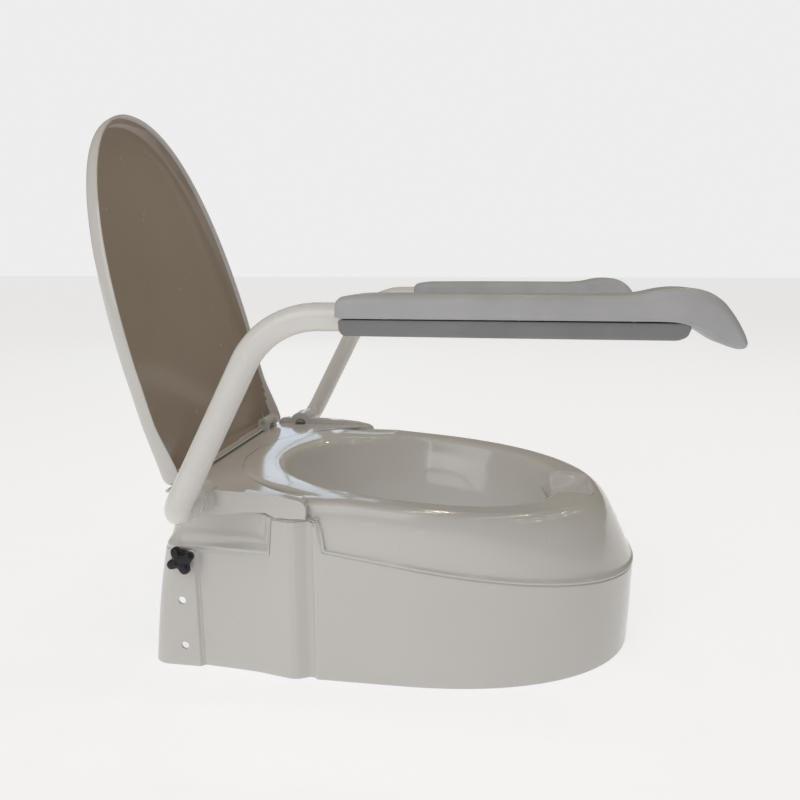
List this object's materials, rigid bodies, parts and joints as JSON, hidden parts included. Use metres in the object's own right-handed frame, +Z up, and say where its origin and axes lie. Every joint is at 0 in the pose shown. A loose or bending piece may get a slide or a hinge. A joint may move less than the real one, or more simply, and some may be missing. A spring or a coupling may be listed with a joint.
{
  "type": "raised toilet seat",
  "caption": "Raised toilet seat: a deep moulded shell with a hinged lid, folding padded armrests and a clamped bracket with side knobs.",
  "frame": {"origin": "midway between the two fixing bolts, on the underside of the mounting bracket", "axes": "+Z up, -Y to the front of the seat, +X to the user's left"},
  "size_m": [0.566, 0.6534, 0.607],
  "materials": {
    "ivory_plastic": "gloss",
    "cream_paint": "gloss",
    "pad_grey": "satin",
    "pad_dark_grey": "matte",
    "black_plastic": "satin",
    "white_nylon": "satin",
    "steel": "satin",
    "brass": "satin",
    "rubber": "matte"
  },
  "bodies": {
    "seat": {"seat_shell": "ivory_plastic", "arm_carrier": "ivory_plastic", "carrier_screws": "steel", "left_pivot_bush": "white_nylon", "right_pivot_bush": "white_nylon", "lid_hinge_pins": "steel"},
    "lid": {"lid": "ivory_plastic"},
    "left_arm": {"left_arm_tube": "cream_paint", "left_tube_plug": "black_plastic", "left_pivot_screw": "steel", "left_stop_pin": "steel", "left_front_plug": "black_plastic", "left_pad_top": "pad_grey", "left_pad_base": "pad_dark_grey", "left_pad_screws": "steel"},
    "right_arm": {"right_arm_tube": "cream_paint", "right_tube_plug": "black_plastic", "right_pivot_screw": "steel", "right_stop_pin": "steel", "right_front_plug": "black_plastic", "right_pad_top": "pad_grey", "right_pad_base": "pad_dark_grey", "right_pad_screws": "steel"},
    "bracket": {"mount_bracket": "steel", "bracket_inserts": "brass", "bracket_pads": "rubber", "fixing_bolts": "steel", "bolt_washers": "steel"},
    "left_knob": {"left_knob": "black_plastic", "left_knob_stud": "steel", "left_knob_washer": "steel"},
    "right_knob": {"right_knob": "black_plastic", "right_knob_stud": "steel", "right_knob_washer": "steel"}
  },
  "joints": [
    {"name": "lid_hinge", "type": "hinge", "parent": "seat", "child": "lid", "pos_m": [0, 0.044, 0.095], "axis": [1, 0, 0], "range_deg": [0, 104]},
    {"name": "left_arm_fold", "type": "hinge", "parent": "seat", "child": "left_arm", "pos_m": [0.2, 0.006, 0.0835], "axis": [-1, 0, 0], "range_deg": [0, 95]},
    {"name": "right_arm_fold", "type": "hinge", "parent": "seat", "child": "right_arm", "pos_m": [-0.2, 0.006, 0.0835], "axis": [-1, 0, 0], "range_deg": [0, 95]},
    {"name": "bracket_tilt", "type": "hinge", "parent": "seat", "child": "bracket", "pos_m": [0, 0.032, 0.013], "axis": [1, 0, 0], "range_deg": [-6, 6]},
    {"name": "left_knob_turn", "type": "hinge", "parent": "seat", "child": "left_knob", "pos_m": [0.185, 0.032, 0.013], "axis": [1, 0, 0], "continuous": true},
    {"name": "right_knob_turn", "type": "hinge", "parent": "seat", "child": "right_knob", "pos_m": [-0.185, 0.032, 0.013], "axis": [-1, 0, 0], "continuous": true}
  ]
}
